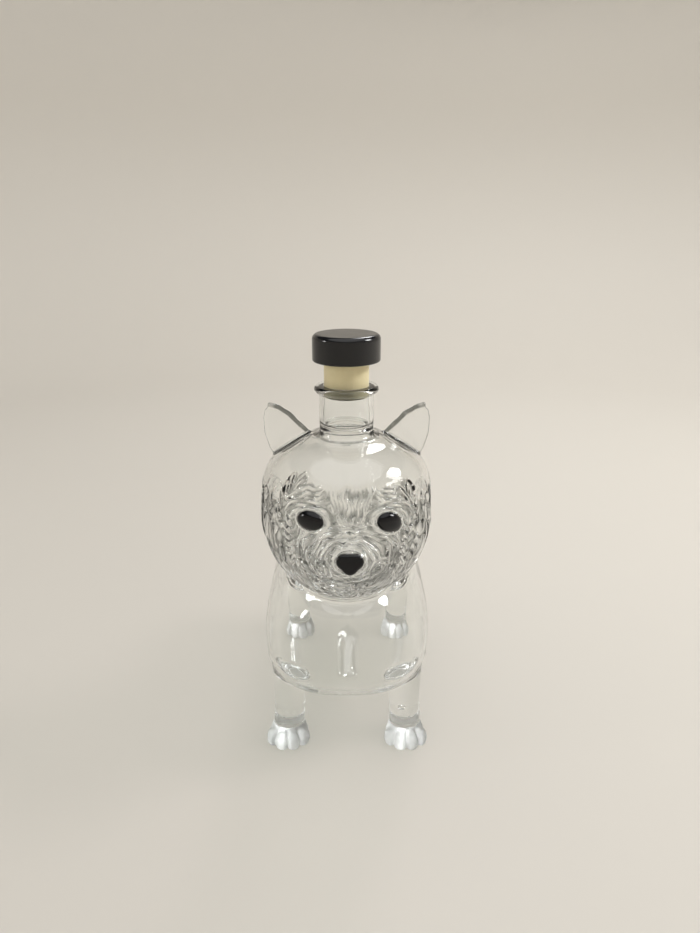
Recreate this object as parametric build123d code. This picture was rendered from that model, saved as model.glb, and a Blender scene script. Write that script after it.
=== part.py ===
from build123d import *

import math
import os

# A clear glass decanter in the shape of a small prick-eared terrier that stands on four legs.
# The dog faces -Y, its own left side is +X, and +Z is up. Every length is in millimetres.
# While it is built, X = Y = 0 is the axis of the neck; at the end everything is moved so that
# the origin lies on the table, under the middle of the object.

# Stopper: a hard gloss cap on a smooth synthetic cork, shown partly drawn out of the neck
SHANK_DIAMETER = 19.1
SHANK_LENGTH = 15.1
SHANK_EDGE = 0.8
CAP_DIAMETER = 28.8
CAP_HEIGHT = 11.4
CAP_TOP_ROUND = 2.2
CAP_FOOT_ROUND = 0.7
PEG_DIAMETER = 8.0
PEG_LENGTH = 7.0
PEG_END_ROOM = 0.6
STOPPER_LIFT = 10.4
BORE_CLEARANCE = 0.05

# Neck tube and the flange at its mouth
NECK_WALL = 2.1
NECK_LENGTH = 18.9
LIP_DIAMETER = 27.6
LIP_THICKNESS = 2.9
LIP_ROUND = 1.2

# Head: a moulded hollow ball, squarer above than below, with a muzzle
HEAD_RADIUS = 38.0
HEAD_RISE = 36.8
HEAD_DROP = 38.6
HEAD_ABOVE_BACK = 24.6
HEAD_WALL = 2.6
CROWN_SQUARENESS = 3.0
JAW_SQUARENESS = 1.95
MUZZLE_HALF_WIDTH = 20.0
MUZZLE_HALF_DEPTH = 20.5
MUZZLE_HALF_HEIGHT = 15.0
MUZZLE_FORWARD = 26.0
MUZZLE_DROP = 6.5

# Body: a blown bulb, longer than wide, widest low down, squarish below and rounder above
BODY_HALF_WIDTH = 41.5
BODY_RISE = 44.5
BODY_DROP = 23.0
BODY_HALF_LENGTH = 68.0
BODY_CENTRE_BACK = 41.5
BODY_CENTRE_HEIGHT = 53.5
BODY_WALL = 1.6
BODY_LENGTH_SQUARENESS = 3.0
BACK_SQUARENESS = 2.0
BELLY_SQUARENESS = 2.8
BODY_STATIONS = 9
BODY_RING_POINTS = 20
BODY_END_TURN = math.radians(5)

# Front legs: solid rods that spread a little towards the feet
LEG_RADIUS = 7.6
LEG_WELD_RADIUS = 8.8
FRONT_FOOT_SIDE = 29.3
FRONT_WELD_SIDE = 27.2
FRONT_LEG_BACK = 0.5
WELD_RISE = 13.0

# Rear legs: the same rods with a thigh pressed on to the flank of the bulb
REAR_FOOT_SIDE = 32.5
REAR_WELD_SIDE = 33.5
REAR_LEG_BACK = 98.0
REAR_WELD_BACK = 92.0
THIGH_HALF_WIDTH = 9.0
THIGH_HALF_LENGTH = 13.0
THIGH_HALF_HEIGHT = 19.0
THIGH_HEIGHT = 50.0

# Paws: a pad with four toes, flat underneath
PAW_HEIGHT = 9.4
PAD_HALF_WIDTH = 10.0
PAD_HALF_LENGTH = 10.6
PAD_HALF_HEIGHT = 11.5
TOE_RADIUS = 4.9
TOE_STRETCH = 1.15
TOE_REACH = 7.4
TOE_COUNT = 4
TOE_SPREAD_ANGLE = 104.0

# Ears: upright leaf-shaped plates
EAR_THICKNESS = 3.0
EAR_BACK = 8.0
EAR_INNER_SIDE = 17.0
EAR_OUTER_SIDE = 37.2
EAR_TIP_SIDE = 34.0
EAR_TIP_RISE = 11.4
EAR_BOW = 2.1
EAR_HEEL_SIDE = 34.2

# Eyes and nose: black glass set into the face, which is turned a little to one side
FACE_SIDE = 1.5
EYE_HALF_WIDTH = 5.8
EYE_HALF_HEIGHT = 4.1
EYE_HALF_DEPTH = 2.6
EYE_SIDE = 15.9
LEFT_EYE_RISE = 9.8
RIGHT_EYE_RISE = 11.0
LEFT_EYE_TILT = -21.0
RIGHT_EYE_TILT = 3.0
NOSE_HALF_WIDTH = 9.8
NOSE_HEIGHT = 9.4
NOSE_CORNER = 2.9
NOSE_DEPTH = 1.9
NOSE_STAND_OUT = 1.3
NOSE_EDGE_ROUND = 1.0
NOSE_LEAN = 15.0

# Tail: a short solid rod drawn up behind the rump
TAIL_ROOT_RADIUS = 7.0
TAIL_TIP_RADIUS = 3.2
TAIL_LENGTH = 33.0
TAIL_SINK = 9.0
TAIL_ROOT_BACK = 96.0
TAIL_LEAN = 22.0

# One overrun for every cutting solid
OVERRUN = 60.0

bore_radius = SHANK_DIAMETER / 2 + BORE_CLEARANCE
neck_radius = bore_radius + NECK_WALL
head_centre_height = BODY_CENTRE_HEIGHT + BODY_RISE + HEAD_ABOVE_BACK
neck_foot_height = head_centre_height + HEAD_RISE
ear_tip_height = neck_foot_height + EAR_TIP_RISE
neck_top_height = neck_foot_height + NECK_LENGTH
mouth_height = neck_top_height + LIP_THICKNESS
cap_foot_height = mouth_height + STOPPER_LIFT
shank_foot_height = cap_foot_height - SHANK_LENGTH


def power_point(share, squareness):
    """One point of a quarter of a rounded square, as shares of its two half sizes."""
    turn = share * math.pi / 2
    return math.sin(turn) ** (2 / squareness), math.cos(turn) ** (2 / squareness)


# Head


def head_half_profile(radius, reach, squareness, centre, upward):
    """The outline of one half of the head, from its pole out to its widest place."""
    sign = 1 if upward else -1
    count = 7
    points = []
    for step in range(count):
        out, along = power_point(step / (count - 1), squareness)
        points.append((out * radius, 0, centre + sign * along * reach))
    tangents = [(1, 0, 0), (0, 0, -sign)]
    return Spline(*points, tangents=tangents)


def head_ball(wall):
    """The head without its muzzle, shrunk by a wall."""
    radius = HEAD_RADIUS - wall
    crown = head_half_profile(radius, HEAD_RISE - wall, CROWN_SQUARENESS, head_centre_height, True)
    jaw = head_half_profile(radius, HEAD_DROP - wall, JAW_SQUARENESS, head_centre_height, False)
    axis_line = Line(crown @ 0, jaw @ 0)
    return revolve(make_face(Wire([crown, jaw, axis_line])), Axis.Z)


def ellipsoid(half_width, half_length, half_height):
    return scale(Sphere(1), by=(half_width, half_length, half_height))


def head_form(wall):
    """The whole head, with its muzzle, shrunk by a wall."""
    muzzle = ellipsoid(MUZZLE_HALF_WIDTH - wall, MUZZLE_HALF_DEPTH - wall, MUZZLE_HALF_HEIGHT - wall)
    muzzle = Pos(FACE_SIDE, -MUZZLE_FORWARD, head_centre_height - MUZZLE_DROP) * muzzle
    return head_ball(wall) + muzzle


def head_front(side, rise):
    """How far the head's ball reaches forward at a place on its face."""
    share = (rise / HEAD_RISE) ** CROWN_SQUARENESS
    level_radius = HEAD_RADIUS * (1 - share) ** (1 / CROWN_SQUARENESS)
    return math.sqrt(level_radius**2 - side**2)


# Body


def body_ring(station, wall):
    """One closed section of the bulb, at a share of its length from -1 to 1."""
    girth = (1 - abs(station) ** BODY_LENGTH_SQUARENESS) ** (1 / BODY_LENGTH_SQUARENESS)
    half_width = (BODY_HALF_WIDTH - wall) * girth
    rise = (BODY_RISE - wall) * girth
    drop = (BODY_DROP - wall) * girth
    along = BODY_CENTRE_BACK + station * (BODY_HALF_LENGTH - wall)
    points = []
    for step in range(BODY_RING_POINTS):
        turn = 2 * math.pi * step / BODY_RING_POINTS
        power = 2 / (BACK_SQUARENESS if math.sin(turn) >= 0 else BELLY_SQUARENESS)
        out = math.copysign(abs(math.cos(turn)) ** power, math.cos(turn))
        up = math.copysign(abs(math.sin(turn)) ** power, math.sin(turn))
        height = BODY_CENTRE_HEIGHT + up * (rise if up >= 0 else drop)
        points.append((out * half_width, along, height))
    return Wire(Edge.make_spline(points, periodic=True))


def body_form(wall):
    """The whole bulb as a solid, shrunk by a wall, with a small flat at each end."""
    sections = []
    for step in range(BODY_STATIONS):
        turn = BODY_END_TURN + (math.pi - 2 * BODY_END_TURN) * step / (BODY_STATIONS - 1)
        sections.append(body_ring(-math.cos(turn), wall))
    return Solid.make_loft(sections)


head_outside = head_form(0)
head_cavity = head_form(HEAD_WALL)
body_outside = body_form(0)
body_cavity = body_form(BODY_WALL)


def between(low, high, shape):
    """The part of a shape between two heights."""
    slab = Box(OVERRUN * 4, OVERRUN * 6, high - low, align=(Align.CENTER, Align.CENTER, Align.MIN))
    return shape & (Pos(0, BODY_CENTRE_BACK, low) * slab)


# Eyes and nose


def eye(side, rise, tilt):
    """A domed oval of black glass, turned to lie flat on the face and tilted to the muzzle."""
    place = FACE_SIDE + side * EYE_SIDE
    front = head_front(place, rise)
    turn = math.degrees(math.atan2(place, front))
    dome = ellipsoid(EYE_HALF_WIDTH, EYE_HALF_DEPTH, EYE_HALF_HEIGHT)
    dome = Rot(0, -side * tilt, 0) * dome
    dome = Rot(0, 0, turn) * dome
    return Pos(place, -front, head_centre_height + rise) * dome


def nose():
    """A rounded triangle, point down, with a soft front edge, leaning back with the muzzle."""
    top = NOSE_HEIGHT / 2
    corners = [(0, -top), (NOSE_HALF_WIDTH, top), (-NOSE_HALF_WIDTH, top)]
    outline = Polygon(*corners, align=None)
    outline = fillet(outline.vertices(), NOSE_CORNER)
    plate = Pos(0, NOSE_DEPTH, 0) * extrude(Plane.XZ * outline, NOSE_DEPTH + NOSE_STAND_OUT)
    plate = fillet(plate.faces().sort_by(Axis.Y)[0].edges(), NOSE_EDGE_ROUND)
    roundness = MUZZLE_HALF_HEIGHT / MUZZLE_HALF_DEPTH
    place = math.atan(math.tan(math.radians(NOSE_LEAN)) * roundness)
    front = MUZZLE_FORWARD + MUZZLE_HALF_DEPTH * math.cos(place)
    rise = MUZZLE_HALF_HEIGHT * math.sin(place) - MUZZLE_DROP
    return Pos(FACE_SIDE, -front, head_centre_height + rise) * (Rot(-NOSE_LEAN, 0, 0) * plate)


# Ears


def ear_plate(side):
    """A leaf-shaped plate that stands on the shoulder of the head."""
    foot = head_centre_height + HEAD_RISE / 2
    shoulder = neck_foot_height - EAR_THICKNESS / 2
    middle_side = (EAR_INNER_SIDE + EAR_TIP_SIDE) / 2
    middle_height = (shoulder + ear_tip_height) / 2 + EAR_BOW
    inner = Spline(
        (side * EAR_INNER_SIDE, shoulder),
        (side * middle_side, middle_height),
        (side * EAR_TIP_SIDE, ear_tip_height),
        tangents=[(side, 1), (side, 0)],
    )
    outer = Spline(
        inner @ 1,
        (side * EAR_OUTER_SIDE, (shoulder + ear_tip_height) / 2),
        (side * EAR_HEEL_SIDE, (foot + shoulder) / 2),
        tangents=[(side, 0), (-side, -1)],
    )
    foot_line = Line(outer @ 1, (side * EAR_INNER_SIDE, foot))
    inner_line = Line((side * EAR_INNER_SIDE, foot), inner @ 0)
    face = make_face(Wire([inner, outer, foot_line, inner_line]))
    plate = extrude(Plane.XZ * face, EAR_THICKNESS / 2, both=True)
    return Pos(0, EAR_BACK, 0) * plate


# Legs and paws


def largest(shape):
    """The one solid of a piece, without any sliver that a cut left beside it."""
    return shape.solids().sort_by(SortBy.VOLUME)[-1]


def leg_rod(foot, weld, weld_radius):
    """A solid rod from inside the paw to inside the bulb, flared where it is welded on."""
    height = (weld - foot).length
    belly = BODY_CENTRE_HEIGHT - BODY_DROP
    outline = Spline(
        (LEG_RADIUS, 0, 0),
        (LEG_RADIUS, 0, belly - WELD_RISE / 2),
        (weld_radius, 0, belly + WELD_RISE),
        tangents=[(0, 0, 1), (0, 0, 1)],
    )
    up = Line(outline @ 1, (weld_radius, 0, height))
    top = Line(up @ 1, (0, 0, height))
    middle = Line(top @ 1, (0, 0, 0))
    bottom = Line(middle @ 1, outline @ 0)
    rod = revolve(make_face(Wire([outline, up, top, middle, bottom])), Axis.Z)
    return Plane(origin=foot, z_dir=weld - foot).location * rod


def front_leg(side):
    foot = Vector(side * FRONT_FOOT_SIDE, FRONT_LEG_BACK, 0)
    weld = Vector(side * FRONT_WELD_SIDE, FRONT_LEG_BACK, BODY_CENTRE_HEIGHT)
    rod = between(PAW_HEIGHT, BODY_CENTRE_HEIGHT, leg_rod(foot, weld, LEG_WELD_RADIUS))
    return largest(rod - body_outside)


def rear_leg(side):
    """The rear rod ends inside a thigh, which hugs the flank of the bulb."""
    foot = Vector(side * REAR_FOOT_SIDE, REAR_LEG_BACK, 0)
    weld = Vector(side * REAR_WELD_SIDE, REAR_WELD_BACK, THIGH_HEIGHT)
    rod = between(PAW_HEIGHT, THIGH_HEIGHT, leg_rod(foot, weld, LEG_RADIUS))
    thigh = Pos(weld) * ellipsoid(THIGH_HALF_WIDTH, THIGH_HALF_LENGTH, THIGH_HALF_HEIGHT)
    return largest(rod + thigh - body_outside)


def paw(side, foot_side, foot_back):
    """A rounded pad with four toes across its front, cut flat below and at the leg."""
    shape = ellipsoid(PAD_HALF_WIDTH, PAD_HALF_LENGTH, PAD_HALF_HEIGHT)
    for step in range(TOE_COUNT):
        share = step / (TOE_COUNT - 1) - 1 / 2
        turn = math.radians(TOE_SPREAD_ANGLE * share)
        toe = ellipsoid(TOE_RADIUS, TOE_RADIUS * TOE_STRETCH, TOE_RADIUS * TOE_STRETCH)
        place = Pos(TOE_REACH * math.sin(turn), -TOE_REACH * math.cos(turn), TOE_RADIUS / 2)
        shape += place * toe
    shape = Pos(side * foot_side, foot_back, 0) * shape
    return between(0, PAW_HEIGHT, shape)


# Tail


def tail():
    """A tapering rod with a round tip, rising from the rump and leaning back."""
    root = Vector(0, TAIL_ROOT_BACK, BODY_CENTRE_HEIGHT)
    length = TAIL_LENGTH + TAIL_SINK
    rod = Cone(
        TAIL_ROOT_RADIUS, TAIL_TIP_RADIUS, length, align=(Align.CENTER, Align.CENTER, Align.MIN)
    )
    rod += Pos(0, 0, length) * Sphere(TAIL_TIP_RADIUS)
    return Pos(root) * (Rot(-TAIL_LEAN, 0, 0) * rod) - body_outside


# Neck, lip and stopper


def ring(outer_radius, inner_radius, low, high):
    height = high - low
    tube = Cylinder(outer_radius, height) - Cylinder(inner_radius, height)
    return Pos(0, 0, (low + high) / 2) * tube


def bore(low, high):
    return Pos(0, 0, (low + high) / 2) * Cylinder(bore_radius, high - low)


def neck_tube():
    """The straight tube from the crown of the head to the lip."""
    return ring(neck_radius, bore_radius, head_centre_height, neck_top_height) - head_outside


def lip_ring():
    """The rounded flange round the mouth."""
    lip = ring(LIP_DIAMETER / 2, bore_radius, neck_top_height, mouth_height)
    rim = lip.edges().filter_by(GeomType.CIRCLE).group_by(SortBy.RADIUS)[-1]
    return fillet(rim, LIP_ROUND)


def shank():
    """The synthetic cork, with a blind hole for the cap's peg."""
    body = Cylinder(SHANK_DIAMETER / 2, SHANK_LENGTH)
    body = chamfer(body.faces().sort_by(Axis.Z)[0].edges(), SHANK_EDGE)
    hole_depth = PEG_LENGTH + PEG_END_ROOM
    body -= Pos(0, 0, (SHANK_LENGTH - hole_depth) / 2) * Cylinder(PEG_DIAMETER / 2, hole_depth)
    return Pos(0, 0, shank_foot_height + SHANK_LENGTH / 2) * body


def cap():
    """The gloss cap with its softly rounded edge and the peg that goes into the cork."""
    body = Cylinder(CAP_DIAMETER / 2, CAP_HEIGHT)
    body = fillet(body.faces().sort_by(Axis.Z)[-1].edges(), CAP_TOP_ROUND)
    body = fillet(body.faces().sort_by(Axis.Z)[0].edges(), CAP_FOOT_ROUND)
    peg = Pos(0, 0, -(CAP_HEIGHT + PEG_LENGTH) / 2) * Cylinder(PEG_DIAMETER / 2, PEG_LENGTH)
    return Pos(0, 0, cap_foot_height + CAP_HEIGHT / 2) * (body + peg)


# Assembly

pieces = {}
eyes = {
    "left": eye(1, LEFT_EYE_RISE, LEFT_EYE_TILT),
    "right": eye(-1, RIGHT_EYE_RISE, RIGHT_EYE_TILT),
}
nose_piece = nose()

crown_bore = bore(head_centre_height, neck_top_height)
head = head_outside - head_cavity - crown_bore - body_cavity
for side_eye in eyes.values():
    head -= side_eye
pieces["head_shell"] = head - nose_piece
pieces["body_bulb"] = body_outside - head_outside - body_cavity
pieces["neck_tube"] = neck_tube()
pieces["lip_ring"] = lip_ring()
pieces["nose"] = nose_piece

for name, side in (("left", 1), ("right", -1)):
    pieces[f"{name}_eye"] = eyes[name]
    pieces[f"{name}_ear"] = ear_plate(side) - head_outside
    pieces[f"front_{name}_leg"] = front_leg(side)
    pieces[f"rear_{name}_leg"] = rear_leg(side)
    pieces[f"front_{name}_paw"] = paw(side, FRONT_FOOT_SIDE, FRONT_LEG_BACK)
    pieces[f"rear_{name}_paw"] = paw(side, REAR_FOOT_SIDE, REAR_LEG_BACK)

pieces["tail"] = tail()
pieces["stopper_shank"] = shank()
pieces["stopper_cap"] = cap()

os.makedirs("parts", exist_ok=True)
overall = Compound(children=[Compound(shape.solids()) for shape in pieces.values()]).bounding_box()
to_origin = Pos(0, -overall.center().Y, 0)
for name, shape in pieces.items():
    solids = shape.solids()
    placed = to_origin * (solids[0] if len(solids) == 1 else Compound(solids))
    export_step(placed, f"parts/{name}.step")
    print(name, len(solids), round(sum(solid.volume for solid in solids)))

print("overall size", overall.size, "moved by", -overall.center().Y)
print("neck axis at Y", round(-overall.center().Y, 3), "mouth height", round(mouth_height, 3))
print("shank clearance in bore", BORE_CLEARANCE, "stopper lift", STOPPER_LIFT)
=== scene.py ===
import math

import bpy
import numpy as np
import openvdb
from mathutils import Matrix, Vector


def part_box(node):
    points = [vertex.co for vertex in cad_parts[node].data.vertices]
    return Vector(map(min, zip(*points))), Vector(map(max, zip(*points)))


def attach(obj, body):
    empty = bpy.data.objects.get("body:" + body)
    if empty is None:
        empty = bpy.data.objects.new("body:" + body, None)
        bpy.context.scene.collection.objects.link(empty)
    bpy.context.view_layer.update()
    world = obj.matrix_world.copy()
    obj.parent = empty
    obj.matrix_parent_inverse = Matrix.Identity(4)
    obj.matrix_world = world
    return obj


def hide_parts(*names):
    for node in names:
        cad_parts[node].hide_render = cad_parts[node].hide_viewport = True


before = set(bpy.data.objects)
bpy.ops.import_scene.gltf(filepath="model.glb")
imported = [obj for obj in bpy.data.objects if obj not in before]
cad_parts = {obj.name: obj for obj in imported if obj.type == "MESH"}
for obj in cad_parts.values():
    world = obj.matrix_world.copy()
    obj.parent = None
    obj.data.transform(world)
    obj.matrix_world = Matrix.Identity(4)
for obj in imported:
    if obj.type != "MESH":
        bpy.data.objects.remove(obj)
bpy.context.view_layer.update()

# The body bulb.
# A hollow belly of clear borosilicate glass, blown and a little flattened underneath. All the other
# glass is fused to it in the flame, so each section shapes and lists its part, and they are cut last.
MM = 0.001
FAR = 1000.0
EDGE = 3.0
GRAIN, BODY_GRAIN = ((0.46, 0.9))
ROD_GRAIN, EAR_GRAIN = GRAIN * 1.2, GRAIN * 0.9
# Glass is shaped in millimetres, from the neck's axis and the table.
NECK_PLACE = (Vector(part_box("neck_tube")[0]) + Vector(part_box("neck_tube")[1])) / 2 / MM
BODY_HALF_WIDTH, BODY_RISE, BODY_DROP, BODY_HALF_LENGTH = 41.5, 44.5, 23.0, 68.0
BODY_BACK, BODY_HEIGHT, BODY_WALL = 41.5, 53.5, 1.6
BODY_LENGTH_POWER, BACK_POWER, BELLY_POWER = 3.0, 2.0, 2.8
BODY_SEAM, LEG_REACH = 0.3, 3.5
BODY_LIMBS = ["tail", "front_left_leg", "rear_left_leg", "front_right_leg", "rear_right_leg"]
GLASS_TONE, GLASS_INDEX = 0.975, 1.47
SHADOW_TONE = (0.93, 0.94, 0.935, 1)
# Painted shade: the grooves of the fur and the ears' rolled edges are darkened towards this colour, in
# blotches.
PAINTED_SHADE_COLOUR, PAINTED_SHADE_PATCH, PAINTED_SHADE_CHANGE, PAINTED_SHADE_LEAST = (0.25, 0.26, 0.25, 1), 2.5, 1.6, 0.2
POLISH_PATCH, POLISH_CHANGE = 7.0, 0.02

LIMBS = {}
glass_parts = []


def smooth_least(a, b, round_size):
    """The nearer of two forms, with a fillet of about the given size where they meet."""
    share = np.clip(0.5 + 0.5 * (b - a) / round_size, 0, 1)
    return b + (a - b) * share - round_size * share * (1 - share)


def smooth_most(a, b, round_size):
    """Where two forms overlap, with the edge between them rounded."""
    return -smooth_least(-a, -b, round_size)


def egg(p, centre, halves, powers):
    """Distance to a rounded egg that lies along Y; the powers are round it and along it."""
    x, y, z = (np.maximum(np.abs(p[axis] - centre[axis]) / halves[axis], 1e-4) for axis in range(3))
    cross_power, long_power = powers
    cross = (x**cross_power + z**cross_power) ** (1 / cross_power)
    gauge = (cross**long_power + y**long_power) ** (1 / long_power)
    to_cross = (cross / gauge) ** (long_power - 1)
    dx = to_cross * (x / cross) ** (cross_power - 1) / halves[0]
    dz = to_cross * (z / cross) ** (cross_power - 1) / halves[2]
    dy = (y / gauge) ** (long_power - 1) / halves[1]
    return (gauge - 1) / np.sqrt(dx**2 + dy**2 + dz**2)


def body_form(p, wall=0.0):
    """The bulb: rounder above its widest place, squarer below it."""
    centre = (0, BODY_BACK, BODY_HEIGHT)
    width, length = BODY_HALF_WIDTH - wall, BODY_HALF_LENGTH - wall
    above = egg(p, centre, (width, length, BODY_RISE - wall), (BACK_POWER, BODY_LENGTH_POWER))
    below = egg(p, centre, (width, length, BODY_DROP - wall), (BELLY_POWER, BODY_LENGTH_POWER))
    return np.where(p[2] >= BODY_HEIGHT, above, below)


def inside_limbs(p):
    """Above 0 where glass is so near a leg or the tail that it belongs to that limb."""
    nearest = np.full(p[0].shape, FAR)
    for limb in BODY_LIMBS:
        nearest = np.minimum(nearest, LIMBS[limb][0](p))
    return LEG_REACH - nearest


def body_seam(p):
    """The bulb ends at its own wall beside a limb, and below the head."""
    return np.maximum(HEAD_SEAM - head_form(p), np.minimum(body_form(p) - BODY_SEAM, inside_limbs(p)))


class Wire:
    """A shader socket that can be added to or multiplied by another or a number, on either side."""

    def __init__(self, nodes, socket):
        self.nodes, self.socket = nodes, socket

    def maths(self, operation, other):
        node = self.nodes.add("ShaderNodeMath", {"operation": operation}, {0: self, 1: other})
        return self.nodes.wire(node)

    def __add__(self, other):
        return self.maths("ADD", other)

    def __mul__(self, other):
        return self.maths("MULTIPLY", other)

    __radd__, __rmul__ = __add__, __mul__


class Finish:
    """One material's nodes, added by type with their settings and socket values."""

    def __init__(self, name):
        self.material = bpy.data.materials.new(name)
        self.material.use_nodes = True
        self.tree = self.material.node_tree
        self.tree.nodes.clear()
        self.output = self.tree.nodes.new("ShaderNodeOutputMaterial")

    def add(self, kind, settings=None, values=None):
        node = self.tree.nodes.new(kind)
        for key, value in (settings or {}).items():
            setattr(node, key, value)
        for key, value in (values or {}).items():
            if isinstance(value, Wire):
                self.tree.links.new(value.socket, node.inputs[key])
            else:
                node.inputs[key].default_value = value
        return node

    def wire(self, node, output=0):
        return Wire(self, node.outputs[output])

    def noise(self, size_mm, detail=3.0):
        """Soft noise on the object, whose blotches are about the given size."""
        place = self.wire(self.add("ShaderNodeTexCoord"), "Object")
        values = {"Vector": place, "Scale": 1 / (size_mm * MM), "Detail": detail}
        return self.wire(self.add("ShaderNodeTexNoise", {}, values))

    def bump(self, height, depth_mm):
        values = {"Height": height, "Distance": depth_mm * MM}
        return self.wire(self.add("ShaderNodeBump", {}, values))

    def mix(self, share, first, second):
        """A colour between two others; 0, 6 and 7 are the node's factor and colour sockets."""
        node = self.add("ShaderNodeMix", {"data_type": "RGBA"}, {0: share, 6: first, 7: second})
        return self.wire(node, 2)

    def surface(self, values):
        return self.wire(self.add("ShaderNodeBsdfPrincipled", {}, values))

    def finish(self, shader):
        self.tree.links.new(shader.socket, self.output.inputs["Surface"])
        return self.material


def clear_finish(name, tone, frost, ripple_size, ripple_depth, paints_shade=False):
    """Clear glass with fine changes of polish and slow ripples, and painted shade where its mesh has a
    groove attribute.
    """
    nodes = Finish(name)
    colour = (tone, tone * 1.01, tone * 1.005, 1)
    if paints_shade:
        # Painted shade: the groove attribute darkens the base colour towards the shade colour, unevenly in
        # blotches.
        depth = nodes.wire(nodes.add("ShaderNodeAttribute", {"attribute_name": "groove"}), "Fac")
        painted_shade = depth * (PAINTED_SHADE_LEAST + PAINTED_SHADE_CHANGE * nodes.noise(PAINTED_SHADE_PATCH))
        colour = nodes.mix(painted_shade, colour, PAINTED_SHADE_COLOUR)
    shine = nodes.surface(
        {
            "Base Color": colour,
            "Transmission Weight": 1.0,
            "IOR": GLASS_INDEX,
            "Roughness": 0.5 * frost + (POLISH_CHANGE + frost) * nodes.noise(POLISH_PATCH),
            "Normal": nodes.bump(nodes.noise(ripple_size, 2.0), ripple_depth),
        }
    )
    through = nodes.wire(nodes.add("ShaderNodeBsdfTransparent", {}, {"Color": SHADOW_TONE}))
    shadow = nodes.wire(nodes.add("ShaderNodeLightPath"), "Is Shadow Ray")
    both = nodes.add("ShaderNodeMixShader", {}, {"Fac": shadow, 1: shine, 2: through})
    return nodes.finish(nodes.wire(both))


blown_glass = clear_finish("blown_glass", GLASS_TONE, frost=0.0, ripple_size=14.0, ripple_depth=0.05)
glass_parts.append(
    dict(
        name="body",
        node="body_bulb",
        material=blown_glass,
        low=(-BODY_HALF_WIDTH - EDGE, BODY_BACK - BODY_HALF_LENGTH - EDGE, BODY_HEIGHT - BODY_DROP - EDGE),
        high=(
            BODY_HALF_WIDTH + EDGE,
            BODY_BACK + BODY_HALF_LENGTH + EDGE,
            BODY_HEIGHT + BODY_RISE + EDGE * 3,
        ),
        cell=BODY_GRAIN,
        limbs=BODY_LIMBS,
        seam=body_seam,
    )
)


# The head shell.
# A thick hollow head pressed in a mould that gives it combed fur, a muzzle and brows. Its crown and
# temples are left smooth. It is welded on top of the chest, and liquor runs through it to the neck.
HEAD_RADIUS, HEAD_RISE, HEAD_DROP, HEAD_HEIGHT, HEAD_WALL = 38.0, 36.8, 38.6, 122.6, 2.6
CROWN_POWER, JAW_POWER = 3.0, 1.95
FACE_SIDE = 1.5
MUZZLE_HALVES = (20.0, 20.5, 15.0)
MUZZLE_FORWARD, MUZZLE_DROP, MUZZLE_BLEND = 26.0, 6.5, 5.0
HEAD_SEAM, CHIN_WELD = 1.4, 4.5
SHOULDER_INNER, SHOULDER_OUTER, SHOULDER_ROUND = (14.9, 158.4), (33.1, 147.0), 0.8
SHOULDER_FALL, SHOULDER_BACK = 0.195, 8.0
EYE_SIDE, EYE_HALVES, EYE_RIM = 15.9, (5.8, 4.1), 0.9
EYE_RISES, EYE_TILTS = {1: 9.8, -1: 11.0}, {1: math.radians(-21), -1: math.radians(3)}
NOSE_RISE, NOSE_HALVES, NOSE_RIM_LIFT, NOSE_RIM_SQUASH = -3.2, (5.6, 4.3), 0.6, 1.08
FRONT_FORWARD, RELIEF_REACH, INNER_MARGINS = (14.0, 22.0), (1.8, 3.0), (1.1, 0.6)
BRIDGE_RISE, BRIDGE_HALVES, BRIDGE_SINK = 6.6, (4.4, 1.9), 0.5
LOBE_SIDE, LOBE_HALVES, LOBE_HEIGHT, LOBE_TILT = 2.3, (1.5, 0.9), 1.3, 0.25
LIP_RISE, LIP_HALVES, LIP_HEIGHT = -14.2, (13.0, 1.5), 0.55
MOUTH_RISE, MOUTH_HALVES, MOUTH_DEPTH, MOUTH_CURVE = -11.8, (11.0, 0.8), 0.6, 0.012
RIM_HEIGHT, RIM_WIDTH, RIM_GROOVE, RIM_GROOVE_WIDTH, RIM_SINK = 0.55, 0.5, 0.5, 0.35, 0.25

FUR_BASE, FUR_DEPTH, PAINTED_SHADE_DEPTHS = 0.3, 1.45, (0.1, 1.0)
MUZZLE_LOCK, WHORL_LOCK, CHEEK_LOCK, BROW_LOCK, FAN_LOCKS = 1.6, 1.5, 1.7, 1.7, 13.0
MUZZLE_COAT, CHEEK_COAT, FAN_COAT, BROW_COAT = 1.5, 1.6, 1.6, 1.7
MUZZLE_REACH, WHORL_SIDE, WHORL_DROP, WHORL_REACH = (14.5, 17.0), 10.5, 2.6, 3.6
FAN_WIDTHS, FAN_RISES = (0.36, 0.50), (12.0, 14.0)
BROW_SIDE, BROW_RISE, BROW_FOOT, BROW_REACH = 17.5, 7.0, (9.0, 12.0), (11.0, 12.5)
HAIR_LINE, HAIR_SOFT, HAIR_FALL, HAIR_FALL_SIDES = 22.0, 3.0, 8.0, (28, 42)
TUFT_SIDE, TUFT_WIDTH, LEFT_TUFT, RIGHT_TUFT = 24.0, 6.0, 0.5, 4.0
NAPE_COAT, NAPE_DROPS, BACK_SMOOTH, CHIN_SMOOTH = 0.55, (13.0, 19.0), (-4.0, 16.0), (33.0, 42.0)
PATCH_SIDE, PATCH_RISE, PATCH_HALVES = 38.0, 18.0, (6.0, 4.4)


def ellipsoid(p, centre, halves):
    """Distance to an ellipsoid."""
    x, y, z = ((p[axis] - centre[axis]) / halves[axis] for axis in range(3))
    gauge = np.maximum(np.sqrt(x**2 + y**2 + z**2), 1e-3)
    slope = np.sqrt((x / halves[0]) ** 2 + (y / halves[1]) ** 2 + (z / halves[2]) ** 2) / gauge
    return (gauge - 1) / slope


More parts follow.
